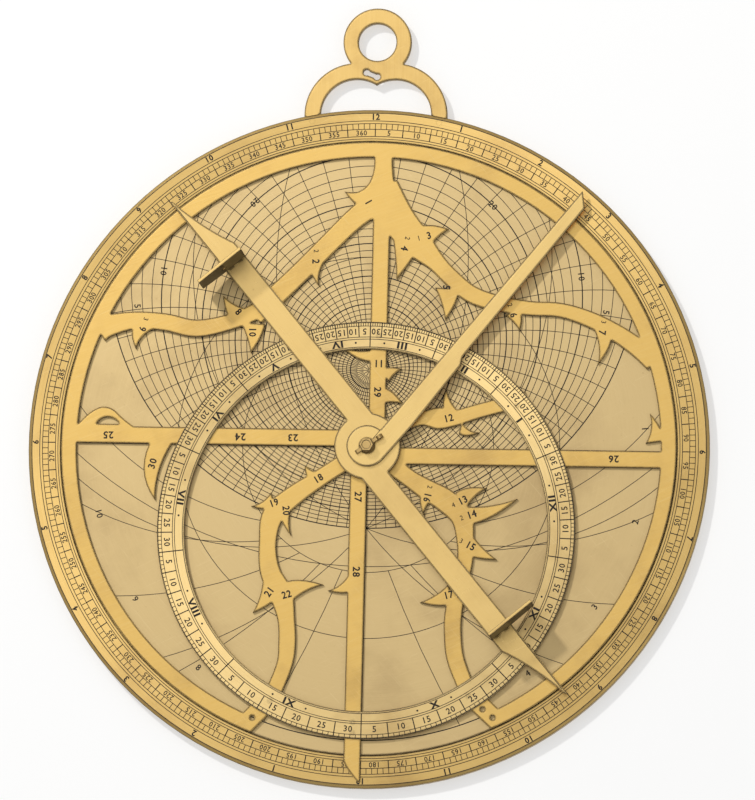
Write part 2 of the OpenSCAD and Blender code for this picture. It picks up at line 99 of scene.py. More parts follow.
def makeCamera(look):
    data = bpy.data.cameras.new("camera")
    data.sensor_width = look["sensor"]
    data.lens = look["lens"]
    data.clip_start = look["nearest"]
    distance = look["viewHeight"] * look["lens"] / look["sensor"]
    side = math.sin(deg(look["tilt"]))
    sideX, sideY = look["towards"]
    away = Vector((sideX * side, sideY * side, math.cos(deg(look["tilt"])))).normalized()
    up = Vector((-math.sin(deg(look["roll"])), math.cos(deg(look["roll"])), 0))
    right = up.cross(away).normalized()
    up = away.cross(right)
    turn = Matrix((right, up, away)).transposed().to_4x4()
    viewer = bpy.data.objects.new("camera", data)
    viewer.matrix_world = Matrix.Translation(Vector(look["aim"]) * mm + away * distance) @ turn
    scene.collection.objects.link(viewer)
    scene.camera = viewer


def makeLamp(name, place, size, power, colour):
    data = bpy.data.lights.new(name, "AREA")
    data.size = size
    data.energy = power
    data.color = colour
    lamp = bpy.data.objects.new(name, data)
    # it shines at the frame's origin
    turn = (-Vector(place)).to_track_quat("-Z", "Y").to_matrix().to_4x4()
    lamp.matrix_world = Matrix.Translation(place) @ turn
    scene.collection.objects.link(lamp)


makeCamera(camera)
for name, settings in lamps.items():
    makeLamp(name, *settings)
print("camera and lamps placed")


# Shader maths

class Wire:
    # one output in a shader tree, so that its maths reads as plain expressions
    def __init__(self, tree, socket=None):
        self.tree = tree
        self.socket = socket

    def add(self, kind, settings=None, values=None, output=0):
        node = self.tree.nodes.new(kind)
        for key, setting in (settings or {}).items():
            setattr(node, key, setting)
        for key, value in (values or {}).items():
            if isinstance(value, Wire):
                self.tree.links.new(value.socket, node.inputs[key])
            else:
                node.inputs[key].default_value = value
        return Wire(self.tree, node.outputs[output]) if node.outputs else None

    def calc(self, operation, *numbers, clamp=False):
        return self.add("ShaderNodeMath", {"operation": operation, "use_clamp": clamp},
                        dict(enumerate(numbers)))

    def blend(self, first, second):
        # this wire is the factor between two colours
        return self.add("ShaderNodeMix", {"data_type": "RGBA"}, {0: self, 6: first, 7: second}, 2)

    def above(self, low, high):
        # 0 below low, 1 above high, smooth between
        return self.add("ShaderNodeMapRange", {"interpolation_type": "SMOOTHSTEP"},
                        {"Value": self, "From Min": low, "From Max": high})

    def __add__(self, other):
        return self.calc("ADD", self, other)

    def __sub__(self, other):
        return self.calc("SUBTRACT", self, other)

    def __rsub__(self, other):
        return self.calc("SUBTRACT", other, self)

    def __mul__(self, other):
        return self.calc("MULTIPLY", self, other)

    def __truediv__(self, other):
        return self.calc("DIVIDE", self, other)

    def __pow__(self, other):
        return self.calc("POWER", self, other)

    __radd__ = __add__


def newTree(name):
    material = bpy.data.materials.new(name)
    material.use_nodes = True
    material.node_tree.nodes.clear()
    return material, Wire(material.node_tree)


def rgba(colour):
    return (*colour, 1)


def noise(bench, place, scale, detail, roughness=0.5, distortion=0):
    return bench.add("ShaderNodeTexNoise", None,
                     {"Vector": place, "Scale": scale, "Detail": detail, "Roughness": roughness,
                      "Distortion": distortion})


def stretched(bench, place, turn, size):
    # coordinates in which one mark of this size, lying this way, is one unit
    return bench.add("ShaderNodeMapping", {"vector_type": "TEXTURE"},
                     {"Vector": place, "Rotation": (0, 0, deg(turn)), "Scale": size})


# Brass: first the marks of tools and age, and the painted shade on arrises and upright faces, that every
# finish shares

marks = {
    # where in its noise each mark begins and where it is full
    "arrisRange": (0.001, 0.02), "stainRange": (0.45, 0.75), "pitRange": (0.64, 0.76),
    "streakRange": (0.35, 0.75), "hairRange": (0.68, 0.78),
    # what the marks do to the roughness
    "stainRough": 0.08, "grainRough": 0.12, "pitRough": 0.1, "hairSmooth": 0.05, "edgeShadeRough": 0.25,
    # what stains and the painted edge shade take from the metallic value
    "stainMatt": 0.12, "edgeShadeMatt": 0.8,
    # how deep hairlines and pits are beside the grain, and the bump as a whole
    "hairDeep": 0.12, "pitDeep": 0.35, "bump": 0.25, "bumpDistance": 0.0001,
    "hairPale": 0.25, "speckScale": 620.0,
    # how fine turned rings are, and how much they vary on their way round
    "ringFine": 3600, "ringDrift": 7,
    # size in metres of a file mark and of a hairline, and the two ways that hairlines lie
    "fileMark": (0.012, 0.00022, 0.002), "hairline": (0.014, 0.00035, 0.01), "hairTurns": (27, -48),
}


def grainOf(bench, place, look):
    # the direction that the tool left in the metal
    if look["grain"] == "turned":
        x = bench.add("ShaderNodeSeparateXYZ", None, {0: place}, 0)
        y = bench.add("ShaderNodeSeparateXYZ", None, {0: place}, 1) - look["middleY"] * mm
        radius = (x * x + y * y) ** 0.5 + mm
        drift = marks["ringDrift"]
        along = bench.add("ShaderNodeCombineXYZ", None,
                          {0: radius * marks["ringFine"], 1: x / radius * drift, 2: y / radius * drift})
    else:
        along = stretched(bench, place, look["turn"], marks["fileMark"])
    return noise(bench, along, 1.0, 3.0, 0.6)


def hairlinesOf(bench, place):
    # short scratches of handling
    one, other = [noise(bench, stretched(bench, place, turn, marks["hairline"]), 1.0, 1.0, 0.4, 0.2)
                  for turn in marks["hairTurns"]]
    return one.above(*marks["hairRange"]) + other.above(*marks["hairRange"])


def makeBrass(name, look):
    material, bench = newTree(name)
    place = bench.add("ShaderNodeTexCoord", output="Object")
    facing = bench.add("ShaderNodeNewGeometry", output="Normal")
    rounded = bench.add("ShaderNodeBevel", {"samples": 6}, {"Radius": look["edge"] * mm})
    edge = 1 - bench.add("ShaderNodeVectorMath", {"operation": "DOT_PRODUCT"},
                         {0: facing, 1: rounded}, output="Value")
    # painted shade: faces that stand upright are darkened, as if turned away from the light
    upright = bench.add("ShaderNodeSeparateXYZ", None, {0: facing}, 2)
    wallShade = 1 - bench.calc("ABSOLUTE", upright)
    # painted shade: a dark, matt outline along every arris, darkest at the arris itself
    edgeShade = edge.above(*marks["arrisRange"]) * look["outline"]
    grain = grainOf(bench, place, look)
    hair = hairlinesOf(bench, place)
    cloud = noise(bench, place, look["cloudScale"], 6.0, 0.6)
    stain = cloud.above(*marks["stainRange"])
    pit = noise(bench, place, marks["speckScale"], 3.0, 0.7).above(*marks["pitRange"])

    # the last two layers paint shade, a dark outline on arrises and darkened upright faces
    colour = rgba(look["colour"])
    for amount, shade in [(stain * look["stain"], "dark"),
                          (grain.above(*marks["streakRange"]) * look["streaks"], "pale"),
                          (pit * look["pits"], "dark"), (hair * marks["hairPale"], "pale"),
                          (edgeShade, "paintedShade"), (wallShade * look["walls"], "paintedShade")]:
        colour = amount.blend(colour, rgba(look[shade]))
    roughness = (look["roughness"] + stain * marks["stainRough"] + (grain - 0.5) * marks["grainRough"]
                 + pit * marks["pitRough"] - hair * marks["hairSmooth"] + edgeShade * marks["edgeShadeRough"])
    metallic = (look["metallic"] - stain * marks["stainMatt"]) * (1 - edgeShade * marks["edgeShadeMatt"])
    height = (grain * look["grainDepth"] - hair * marks["hairDeep"] - pit * marks["pitDeep"]
              + cloud * look["dents"])
    bump = bench.add("ShaderNodeBump", None,
                     {"Strength": marks["bump"], "Distance": marks["bumpDistance"], "Height": height,
                      "Normal": rounded})
    skin = bench.add("ShaderNodeBsdfPrincipled", None,
                     {"Base Color": colour, "Metallic": metallic, "Roughness": roughness,
                      "Anisotropic": look["sheen"], "Normal": bump})
    bench.add("ShaderNodeOutputMaterial", None, {"Surface": skin})
    return material


# what every finish starts from, and then what each one changes
plainBrass = {"grain": "turned", "middleY": 0, "turn": 0, "colour": (0.70, 0.47, 0.16),
              # the third colour below is painted shade, for arrises and upright faces
              "dark": (0.40, 0.24, 0.08), "pale": (0.86, 0.66, 0.31), "paintedShade": (0.03, 0.018, 0.009),
              "roughness": 0.36, "metallic": 0.95, "cloudScale": 28, "stain": 0.45, "pits": 0.25,
              "edge": 1.2, "outline": 0.85, "walls": 0.55, "grainDepth": 0.7, "dents": 0.5,
              "streaks": 0.16, "sheen": 0.4}
brassLooks = {
    "backBrass": {"colour": (0.58, 0.40, 0.15), "dark": (0.32, 0.20, 0.08), "pale": (0.72, 0.54, 0.25),
                  "stain": 0.55, "pits": 0.4, "dents": 0.8, "walls": 0.15, "roughness": 0.42},
    "limbBrass": {"edge": 0.7, "outline": 0.8, "walls": 0.3},
    "throneBrass": {"grain": "filed", "turn": 90, "cloudScale": 40, "sheen": 0},
    "plateBrass": {"colour": (0.64, 0.47, 0.22), "dark": (0.40, 0.27, 0.12), "pale": (0.77, 0.60, 0.32),
                   "roughness": 0.46, "metallic": 0.75, "cloudScale": 20, "stain": 0.5, "dents": 1.2,
                   "sheen": 0},
    "reteBrass": {"grain": "filed", "turn": 20, "colour": (0.74, 0.48, 0.14), "roughness": 0.33,
                  "cloudScale": 36, "outline": 0.95, "walls": 0.85, "sheen": 0},
    "zodiacBrass": {"middleY": zodiacY, "colour": (0.80, 0.58, 0.25), "pale": (0.90, 0.73, 0.40),
                    "cloudScale": 34, "outline": 0.9, "walls": 0.8},
    "alidadeBrass": {"grain": "filed", "turn": 130, "colour": (0.78, 0.54, 0.20), "roughness": 0.3,
                     "stain": 0.3, "grainDepth": 1.0, "outline": 0.95, "walls": 0.85, "sheen": 0},
    # the vanes' upright faces are painted almost wholly dark, as their shade
    "vaneBrass": {"grain": "filed", "turn": 40, "colour": (0.78, 0.54, 0.20), "cloudScale": 60,
                  "stain": 0.3, "edge": 0.4, "outline": 0.8, "walls": 0.97, "sheen": 0},
    "ruleBrass": {"grain": "filed", "turn": 51, "colour": (0.80, 0.56, 0.21), "roughness": 0.3,
                  "stain": 0.3, "grainDepth": 1.0, "outline": 0.95, "walls": 0.85, "sheen": 0},
    "fittingBrass": {"grain": "filed", "turn": 34, "colour": (0.55, 0.37, 0.14), "dark": (0.27, 0.17, 0.06),
                     "pale": (0.80, 0.60, 0.30), "cloudScale": 120, "stain": 0.5, "pits": 0.4,
                     "edge": 0.35, "outline": 0.9, "walls": 0.5, "dents": 0.6, "sheen": 0},
    "rivetBrass": {"grain": "filed", "turn": 10, "colour": (0.58, 0.40, 0.16), "dark": (0.31, 0.19, 0.07),
                   "cloudScale": 200, "stain": 0.5, "pits": 0.4, "edge": 0.3, "outline": 0.9,
                   "sheen": 0},
}
brassNodes = {
    "backBrass": ["back_plate"],
    "limbBrass": ["limb_ring"],
    "throneBrass": ["throne"],
    "plateBrass": ["plate_lower", "plate_middle", "plate_upper"],
    "reteBrass": ["rete_sheet", "rim_pointer"],
    "zodiacBrass": ["zodiac_ring"],
    "alidadeBrass": ["alidade_rule"],
    "vaneBrass": ["vane_left", "vane_right"],
    "ruleBrass": ["single_rule"],
    "fittingBrass": ["pin_bolt", "wedge", "hub_washer"],
    "rivetBrass": ["limb_rivets", "throne_pins", "zodiac_rivets", "pointer_rivets"],
}
for name, members in brassNodes.items():
    material = makeBrass(name, {**plainBrass, **brassLooks[name]})
    for member in members:
        nodes[member].data.materials.clear()
        nodes[member].data.materials.append(material)
print("brass finishes made")


# Black wax in the engraved lines, a little worn

ink = {"colour": (0.018, 0.013, 0.009), "wornColour": (0.14, 0.10, 0.055), "cloudScale": 180.0,
       "wornRange": (0.5, 0.8), "worn": 0.35, "roughness": 0.55, "wornRough": 0.2, "shine": 0.3}


def makeInk(name, look):
    material, bench = newTree(name)
    place = bench.add("ShaderNodeTexCoord", output="Object")
    worn = noise(bench, place, look["cloudScale"], 4.0, 0.6).above(*look["wornRange"])
    shade = (worn * look["worn"]).blend(rgba(look["colour"]), rgba(look["wornColour"]))
    skin = bench.add("ShaderNodeBsdfPrincipled", None,
                     {"Base Color": shade, "Roughness": look["roughness"] + worn * look["wornRough"],
                      "Specular IOR Level": look["shine"]})
    bench.add("ShaderNodeOutputMaterial", None, {"Surface": skin})
    return material


blackWax = makeInk("blackWax", ink)


# Engraving tools; everything is drawn flat in mm and then raised onto its surface

engraving = {
    "proud": 0.02,    # mm that it lies off the metal
    "spacing": 1.12,  # of characters
    "weight": 0.018,  # what thickens a character, as a share of its height
}


class Burin:
    def __init__(self):
        self.work = bmesh.new()

    def edgeAt(self, first, second):
        ends = [self.work.verts.new((*end, 0)) for end in (first, second)]
        return ends + [self.work.edges.new(ends)]

    def arc(self, radius, width, start=0, sweep=360, centre=(0, 0)):
        line = self.edgeAt(polar(radius - width / 2, start, centre),
                           polar(radius + width / 2, start, centre))
        # a whole circle has from 24 to 180 sides
        steps = max(3, round(abs(sweep) / 360 * min(180, 24 + radius * 1.3)))
        bmesh.ops.spin(self.work, geom=line, cent=(*centre, 0), axis=(0, 0, 1), dvec=(0, 0, 0),
                       angle=deg(sweep), steps=steps, use_merge=sweep >= 360, use_normal_flip=False,
                       use_duplicate=False)

    def line(self, first, second, width):
        along = Vector(second) - Vector(first)
        side = Vector((-along.y, along.x)).normalized() * width / 2
        edge = self.edgeAt(Vector(first) - side, Vector(first) + side)[2]
        made = bmesh.ops.extrude_edge_only(self.work, edges=[edge])["geom"]
        ends = [piece for piece in made if isinstance(piece, bmesh.types.BMVert)]
        bmesh.ops.translate(self.work, vec=(along.x, along.y, 0), verts=ends)

    def ticks(self, inner, outer, width, start, step, count, centre=(0, 0)):
        before = set(self.work.faces)
        self.line(polar(inner, start, centre), polar(outer, start, centre), width)
        one = [face for face in self.work.faces if face not in before]
        parts = one + list(one[0].edges) + list(one[0].verts)
        bmesh.ops.spin(self.work, geom=parts, cent=(*centre, 0), axis=(0, 0, 1), dvec=(0, 0, 0),
                       angle=deg(step * (count - 1)), steps=count - 1, use_merge=False,
                       use_normal_flip=False, use_duplicate=True)

    def dot(self, place, radius):
        made = bmesh.ops.create_circle(self.work, cap_ends=True, segments=10, radius=radius)["verts"]
        bmesh.ops.translate(self.work, vec=(*place, 0), verts=made)

    def label(self, words, place, height, turn, stretch=1, weight=engraving["weight"]):
        copy = labelMesh(words, weight).copy()
        copy.transform(Matrix.Translation((*place, 0)) @ Matrix.Rotation(deg(turn), 4, "Z")
                       @ Matrix.Diagonal((height * stretch, height, 1, 1)))
        self.work.from_mesh(copy)
        bpy.data.meshes.remove(copy)

    def finish(self, name, body, level, under=False):
        # level is the height in mm of the surface that is engraved
        work = self.work
        downward = [face for face in work.faces if face.normal.z < 0]
        bmesh.ops.reverse_faces(work, faces=downward)
        if under:
            bmesh.ops.rotate(work, cent=(0, 0, 0), matrix=Matrix.Rotation(math.pi, 3, "Y"),
                             verts=work.verts)
        proud = -engraving["proud"] if under else engraving["proud"]
        bmesh.ops.translate(work, vec=(0, 0, level + proud), verts=work.verts)
        bmesh.ops.scale(work, vec=(mm, mm, mm), verts=work.verts)
        piece = addPiece(name, work, blackWax)
        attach(piece, body)
        print(name, "has", len(piece.data.polygons), "faces")


labels = {}


def thicken(mesh, weight):
    # every outline, a hole's too, moves outwards by the weight
    work = bmesh.new()
    work.from_mesh(mesh)
    bmesh.ops.remove_doubles(work, verts=work.verts, dist=0.00001)
    pushes = {}
    for face in work.faces:
        for loop in face.loops:
            if loop.edge.is_boundary:
                along = (loop.link_loop_next.vert.co - loop.vert.co).normalized()
                outward = along.cross(face.normal)
                for vert in loop.edge.verts:
                    pushes[vert] = pushes.get(vert, Vector()) + outward
    for vert, push in pushes.items():
        vert.co += push * 2 * weight / max(push.length_squared, 1)
    work.to_mesh(mesh)
    work.free()


def labelMesh(words, weight):
    # one unit high, centred on its own middle
    if (words, weight) not in labels:
        curve = bpy.data.curves.new("label", "FONT")
        curve.body = words
        curve.align_x = "CENTER"
        curve.resolution_u = 2
        curve.space_character = engraving["spacing"]
        holder = bpy.data.objects.new("label", curve)
        scene.collection.objects.link(holder)
        bpy.context.view_layer.update()
        mesh = bpy.data.meshes.new_from_object(holder)
        thicken(mesh, weight)
        high = max(v.co.y for v in mesh.vertices)
        low = min(v.co.y for v in mesh.vertices)
        mesh.transform(Matrix.Diagonal((1 / (high - low), 1 / (high - low), 1, 1))
                       @ Matrix.Translation((0, -(high + low) / 2, 0)))
        bpy.data.objects.remove(holder)
        bpy.data.curves.remove(curve)
        labels[words, weight] = mesh
    return labels[words, weight]


# Geometry of circles

def bearing(place, centre):
    return math.degrees(math.atan2(place[1] - centre[1], place[0] - centre[0]))


def turnBetween(start, end):
    # the shorter way round from one bearing to another
    return (end - start + 180) % 360 - 180


def arcInside(centreY, radius, limit):
    # start and sweep of the part of a circle on the Y axis that lies within a disc
    reach = (limit ** 2 - centreY ** 2 - radius ** 2) / (2 * centreY * radius)
    if reach >= 1:
        return 0, 360
    rise = math.degrees(math.asin(reach))
    return 180 - rise, 180 + 2 * rise


def crossings(firstCentre, firstR, centre, radius):
    # the two places where two circles cross
    first = Vector(firstCentre)
    apart = Vector(centre) - first
    gap = apart.length
    along = (gap ** 2 + firstR ** 2 - radius ** 2) / (2 * gap)
    half = math.sqrt(firstR ** 2 - along ** 2)
    ahead = apart.normalized()
    across = Vector((-ahead.y, ahead.x))
    return [first + ahead * along + across * half * sign for sign in (-1, 1)]


def circleThrough(a, b, c):
    # centre and radius of the circle through three places
    a, b, c = Vector(a), Vector(b), Vector(c)
    cross = 2 * ((b - a).cross(c - a))
    ab, ac = (b - a).length_squared, (c - a).length_squared
    centre = Vector(((c - a).y * ab - (b - a).y * ac, (b - a).x * ac - (c - a).x * ab)) / cross + a
    return tuple(centre), (centre - a).length


# Limb: hours, degrees and their numbers

limbLook = {
    # degrees are cut between the third ring and the fourth, their numbers inside the fourth
    "rings": [134.6, 131.5, 130.4, 128.1, 125.2, 124.2],
    "hourAt": 133.15, "hourHigh": 2.5, "hourWeight": 0.035,
    "numberAt": 126.65, "numberHigh": 2.15, "numberStretch": 0.95,
    "fine": 0.28, "bold": 0.4,
}


def makeLimbEngraving(look):
    burin = Burin()
    rings, fine = look["rings"], look["fine"]
    for radius in rings:
        burin.arc(radius, fine)
    burin.ticks(rings[3], rings[2], fine, 0, 1, 360)
    burin.ticks(rings[4], rings[3], look["bold"], 0, 5, 72)
    for hour in range(24):
        angle = 90 - 15 * hour
        burin.label(str((hour - 1) % 12 + 1), polar(look["hourAt"], angle), look["hourHigh"], angle - 90,
                    weight=look["hourWeight"])
    for number in range(5, 365, 5):
        # in the middle of the five degrees that it ends
        angle = 90 - number + 2.5
        burin.label(str(number), polar(look["numberAt"], angle), look["numberHigh"], angle - 90,
                    look["numberStretch"])
    burin.finish("limbEngraving", "mater", topOf("limb_ring"))


makeLimbEngraving(limbLook)


# Plate: the sky above one latitude

plateLook = {
    "latitude": 46,
    "altitudeStep": 2, "azimuthStep": 5,
    "twilight": -18,
    "highest": 80,                     # the last small circle before the zenith
    "gaps": {30: 0.5, 10: 2.6, 5: 5},  # mm short of the zenith, for multiples of these azimuths
    "houses": (30, 60),                # where the house circles cross the equator
    "fine": 0.27, "bold": 0.44,
    "numbered": [5, 10, 20], "numberHigh": 2.6, "numberAt": 109,
    "hourAt": tropicR - 6, "hourAside": 2.6,
    "edge": tropicR + 0.35,
}


def almucantar(altitude, phi):
    # height of the centre and radius of a circle of equal altitude
    rise = math.sin(phi) + math.sin(deg(altitude))
    return equatorR * math.cos(phi) / rise, equatorR * math.cos(deg(altitude)) / rise


def drawAlmucantars(burin, look, phi):
    for altitude in look["numbered"]:
        # numbered just inside both ends
        centreY, radius = almucantar(altitude, phi)
        start = arcInside(centreY, radius, look["numberAt"])[0]
        for side in (-1, 1):
            angle = 90 + side * (start - 90)
            burin.label(str(altitude), polar(radius, angle, (0, centreY)), look["numberHigh"],
                        angle + side * 90)
    for altitude in [look["twilight"], *range(0, look["highest"] + 1, look["altitudeStep"])]:
        centreY, radius = almucantar(altitude, phi)
        burin.arc(radius, look["fine"] if altitude % 10 else look["bold"],
                  *arcInside(centreY, radius, look["edge"]), (0, centreY))


def footOnEdge(centre, radius, edge, foot, zenith):
    # where an arc from the zenith toward its foot leaves the plate's edge circle
    aim = bearing(zenith, centre)
    full = turnBetween(aim, bearing(foot, centre))
    inside = [place for place in crossings((0, 0), edge, centre, radius)
              if 0 < turnBetween(aim, bearing(place, centre)) / full < 1]
    return min(inside, key=lambda place: abs(turnBetween(aim, bearing(place, centre))))


def drawAzimuths(burin, look, phi):
    # circles through the zenith and the nadir, of which the arcs above the horizon are drawn
    zenith = (0, equatorR * math.tan((math.pi / 2 - phi) / 2))
    nadirY = -equatorR / math.tan((math.pi / 2 - phi) / 2)
    horizonY, horizonR = almucantar(0, phi)
    for azimuth in range(look["azimuthStep"], 180, look["azimuthStep"]):
        radius = (zenith[1] - nadirY) / 2 / math.sin(deg(azimuth))
        centre = ((zenith[1] - nadirY) / 2 / math.tan(deg(azimuth)), (zenith[1] + nadirY) / 2)
        # most stop short of the zenith, as they would run together there
        gap = next(gap for step, gap in look["gaps"].items() if azimuth % step == 0)
        for foot in crossings((0, horizonY), horizonR, centre, radius):
            if foot.length > look["edge"]:
                foot = footOnEdge(centre, radius, look["edge"], foot, zenith)
            start = bearing(foot, centre)
            sweep = turnBetween(start, bearing(zenith, centre))
            sweep -= math.copysign(math.degrees(gap / radius), sweep)
            burin.arc(radius, look["fine"], start, sweep, centre)


def drawHouses(burin, look, horizonY):
    # circles of the houses: through the horizon's north and south, 30 degrees apart on the equator
    reach = math.hypot(horizonY, equatorR)
    for turn in look["houses"]:
        shift = horizonY * math.tan(deg(turn))
        radius = math.hypot(shift, reach)
        for side in (1, -1):
            centre = (side * shift, horizonY)
            first, last = crossings((0, 0), look["edge"], centre, radius)
            start = bearing(first, centre)
            burin.arc(radius, look["fine"], start, turnBetween(start, bearing(last, centre)), centre)


def drawNightHours(burin, look, horizonY):
    # unequal hours: each night arc below the horizon is cut in twelve
    rings = [tropicR, equatorR, cancerR]
    rises = [math.degrees(math.asin((r * r - equatorR ** 2) / (2 * r * horizonY))) for r in rings]
    for hour in range(1, 12):
        turns = [rise - hour * (180 + 2 * rise) / 12 for rise in rises]
        # the sixth hour's line is midnight, which is there already
        if hour != 6:
            places = [polar(r, turn) for r, turn in zip(rings, turns)]
            centre, radius = circleThrough(*places)
            start = bearing(places[0], centre)
            burin.arc(radius, look["fine"], start, turnBetween(start, bearing(places[2], centre)), centre)
        turn = turns[0] + (-look["hourAside"] if hour < 6 else look["hourAside"])
        burin.label(str(hour), polar(look["hourAt"], turn), look["numberHigh"], turn + 90)


def makePlateEngraving(look):
    burin = Burin()
    phi = deg(look["latitude"])
    horizonY = almucantar(0, phi)[0]
    edge, fine = look["edge"], look["fine"]
    burin.arc(edge, look["bold"])
    burin.arc(equatorR, fine)
    burin.arc(cancerR, fine)
    burin.line((0, -edge), (0, edge), fine)
    burin.line((-edge, 0), (edge, 0), fine)
    drawAlmucantars(burin, look, phi)
    drawAzimuths(burin, look, phi)
    drawHouses(burin, look, horizonY)
    drawNightHours(burin, look, horizonY)
    burin.finish("plateEngraving", "mater", topOf("plate_upper"))


makePlateEngraving(plateLook)


# Zodiac ring: twelve signs of thirty degrees

zodiacLook = {
    # degrees are cut inside the first ring, numbers inside the second, signs inside the fourth
    "rings": [zodiacR - inset for inset in (0.35, 1.7, 6.1, 6.95, 10.1)],
    "numberAt": zodiacR - 3.9, "numberHigh": 2.5,
    "signAt": zodiacR - 8.35, "signHigh": 2.9, "signStretch": 1.3, "signWeight": 0.04,
    "dotAt": 5.5, "dotR": 0.42,
    "fine": 0.27, "bold": 0.42,
    "signs": ["I", "II", "III", "IV", "V", "VI", "VII", "VIII", "IX", "X", "XI", "XII"],
}


def ringAngle(longitude):
    # angle about the ring's own middle of a place on the ecliptic
    sine = math.sin(deg(obliquity)) * math.sin(deg(longitude))
    ascension = math.degrees(math.atan2(math.cos(deg(obliquity)) * math.sin(deg(longitude)),
                                        math.cos(deg(longitude))))
    place = polar(equatorR * math.tan((math.pi / 2 - math.asin(sine)) / 2), ascension)
    return bearing(place, (0, zodiacY))


def makeZodiacEngraving(look):
    burin = Burin()
    middle = (0, zodiacY)
    rings, fine, bold = look["rings"], look["fine"], look["bold"]
    for radius in rings:
        burin.arc(radius, fine, centre=middle)
    for longitude in range(360):
        angle = ringAngle(longitude)
        inner = rings[1] if longitude % 5 else rings[2] if longitude % 30 else rings[4]
        burin.line(polar(inner, angle, middle), polar(rings[0], angle, middle),
                   fine if longitude % 5 else bold)
    for number in range(5, 365, 5):
        angle = ringAngle(number - 2.5)
        burin.label(str((number - 1) % 30 + 1), polar(look["numberAt"], angle, middle),
                    look["numberHigh"], angle + 90)
    for number, sign in enumerate(look["signs"]):
        angle = ringAngle(number * 30 + 15)
        burin.label(sign, polar(look["signAt"], angle, middle), look["signHigh"], angle + 90,
                    look["signStretch"], look["signWeight"])
        for side in (-1, 1):
            burin.dot(polar(look["signAt"], angle + side * look["dotAt"], middle), look["dotR"])
    burin.finish("zodiacEngraving", "rete", topOf("zodiac_ring"))


makeZodiacEngraving(zodiacLook)


# Rete: plain numbers for the stars and their magnitudes

starLook = {
    "high": 3.0, "heavy": 0.03,
    "small": 2.0, "light": 0.012, "apart": 4.2,
    "narrow": 0.9,  # stretch of the numbers on the pointers
    # x and y in hundredths of the tropic's radius, turn, and the magnitude where there is room for it
    "pointers": [
        (-1.7, 84.5, -60, 0), (-19.3, 63.7, -90, 2), (19.3, 73.2, 16, 1), (11.1, 68.6, -104, 2),
        (25.7, 55.3, -92, 0), (48.9, 46.1, -69, 2), (79.3, 40.5, -97, 3), (-45.5, 45.9, -46, 0),
        (-78.4, 39.5, -107, 3), (-40.5, 39, -90, 0), (3.1, 28.7, 0, 0), (27.4, 10.3, 15, 0),
        (32.9, -17.8, 28, 4), (36, -22.6, 20, 2), (35.9, -33.4, -27, 3), (20.8, -17, -102, 2),
        (28.7, -50.3, 16, 0), (-16.7, -11.1, 33, 0), (-31.7, -19.7, 20, 0), (-27.4, -22.3, -85, 0),
        (-32.6, -50.2, 55, 0), (-26.6, -51, 16, 0)],
    # stars named on the bars: x and y in mm, and turn
    "bars": [(-30, 3.2, 180), (-51, 3.2, 180), (-104, 3.2, 180), (98, -3.4, 180), (-3.4, -20, -90),
             (-3.4, -50, -90), (3.4, 22, -90), (-86, -8, 75)],
}


def makeStarNumbers(look):
    burin = Burin()
    for number, (x, y, turn, magnitude) in enumerate(look["pointers"], 1):
        place = Vector((x, y)) * unit
        burin.label(str(number), place, look["high"], turn, look["narrow"], look["heavy"])
        if magnitude:
            beside = place - Vector(polar(look["apart"], turn))
            burin.label(str(magnitude), beside, look["small"], turn, look["narrow"], look["light"])
    for number, (x, y, turn) in enumerate(look["bars"], len(look["pointers"]) + 1):
        burin.label(str(number), (x, y), look["high"], turn, weight=look["heavy"])
    burin.finish("starNumbers", "rete", topOf("rete_sheet"))


makeStarNumbers(starLook)


# Back: altitudes, calendar, unequal hours and shadow square, read from behind

backLook = {
    "rings": [134.2, 131.6, 128.6, 125.2, 122.0, 119.6, 116.2, 112.6, 110.2, 106.6],
    "altitudeAt": 126.9, "signAt": 117.9, "dayAt": 114.4, "monthAt": 108.4,
    "high": 2.4, "dayHigh": 1.92,
    "yearStart": -80,                          # days from the spring equinox
    "monthDays": [31, 28, 31, 30, 31, 30, 31, 31, 30, 31, 30, 31],
    "hourR": 100, "hourInset": 4,
    "square": 56, "squareBand": 6,
    "squareInset": 2.7,                        # of its middle line
    "bottomNumbers": (0.93, 3),                # share of the way to each mark, and mm inside it
    "sideNumbers": (0.97, 4),
    "fine": 0.24, "bold": 0.36,
}


def drawAltitudes(burin, look):
    rings, fine = look["rings"], look["fine"]
    burin.ticks(rings[1], rings[0], fine, 0, 1, 360)
    burin.ticks(rings[2], rings[1], fine, 0, 5, 72)
    burin.ticks(rings[3], rings[2], look["bold"], 0, 10, 36)
    for altitude in range(10, 100, 10):
        for quarter in range(4):
            angle = quarter * 90 + (95 - altitude if quarter % 2 else altitude - 5)
            burin.label(str(altitude), polar(look["altitudeAt"], angle), look["high"], angle - 90)


def drawCalendar(burin, look):
    # signs of thirty degrees, and the days of the months inside them
    rings, fine, bold, high = look["rings"], look["fine"], look["bold"], look["high"]
    burin.ticks(rings[5], rings[4], fine, 0, 1, 360)
    burin.ticks(rings[6], rings[5], bold, 0, 30, 12)
    for number, sign in enumerate(zodiacLook["signs"]):
        angle = number * 30 + 15
        burin.label(sign, polar(look["signAt"], angle), high, angle - 90)
    step = 360 / 365
    day = look["yearStart"]
    burin.ticks(rings[8], rings[7], fine, day * step, step, 365)
    for month, days in enumerate(look["monthDays"], 1):
        burin.line(polar(rings[9], day * step), polar(rings[7], day * step), bold)
        for mark in (10, 20):
            angle = (day + mark) * step
            burin.label(str(mark), polar(look["dayAt"], angle), look["dayHigh"], angle - 90)
        middle = (day + days / 2) * step
        burin.label(str(month), polar(look["monthAt"], middle), high, middle - 90)
        day += days


